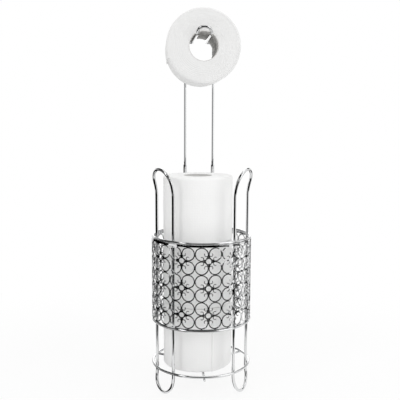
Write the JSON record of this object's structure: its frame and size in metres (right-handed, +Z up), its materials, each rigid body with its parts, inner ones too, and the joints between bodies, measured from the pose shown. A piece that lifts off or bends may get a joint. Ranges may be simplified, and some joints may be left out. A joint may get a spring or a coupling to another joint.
{
  "type": "toilet roll storage holder",
  "caption": "Free-standing wire toilet roll holder: a round basket with an openwork ring band for spare rolls, and a rear pole with an arm for the roll in use.",
  "frame": {"origin": "on the floor, on the axis of the basket", "axes": "+Z up the pole; -Y towards the front, where the arm's tip points; +X to the right of someone who faces the front"},
  "size_m": [0.158, 0.16, 0.5907],
  "materials": {
    "chrome_wire": "polished chrome plate",
    "chrome_lattice": "polished chrome plate, edges rounded",
    "paper": "soft white tissue, lightly embossed",
    "cardboard": "grey-brown wound card"
  },
  "bodies": {
    "stand": {"front_left_loop": "chrome_wire", "front_right_loop": "chrome_wire", "rear_loop": "chrome_wire", "base_ring": "chrome_wire", "base_spoke_front": "chrome_wire", "base_spoke_left": "chrome_wire", "base_spoke_right": "chrome_wire", "lower_rim": "chrome_wire", "upper_rim": "chrome_wire", "lattice_band": "chrome_lattice", "sleeve_left": "chrome_wire", "sleeve_right": "chrome_wire"},
    "hanger": {"hanger_wire": "chrome_wire"},
    "hung_roll": {"hung_paper": "paper", "hung_core": "cardboard"},
    "bottom_roll": {"stored_paper_bottom": "paper", "stored_core_bottom": "cardboard"},
    "middle_roll": {"stored_paper_middle": "paper", "stored_core_middle": "cardboard"},
    "top_roll": {"stored_paper_top": "paper", "stored_core_top": "cardboard"}
  },
  "joints": [
    {"name": "hanger_lift", "type": "slide", "parent": "stand", "child": "hanger", "axis": [0, 0, 1], "range_m": [0, 0.03]},
    {"name": "hung_roll_spin", "type": "hinge", "parent": "hanger", "child": "hung_roll", "pos_m": [0, 0.012, 0.53444], "axis": [0, 1, 0], "continuous": true},
    {"name": "top_roll_lift", "type": "slide", "parent": "stand", "child": "top_roll", "axis": [0, 0, 1], "range_m": [0, 0.11]},
    {"name": "middle_roll_turn", "type": "hinge", "parent": "stand", "child": "middle_roll", "pos_m": [-0.006, 0, 0.1885], "axis": [0, 0, 1], "continuous": true},
    {"name": "bottom_roll_turn", "type": "hinge", "parent": "stand", "child": "bottom_roll", "pos_m": [-0.006, 0, 0.0878], "axis": [0, 0, 1], "continuous": true}
  ]
}
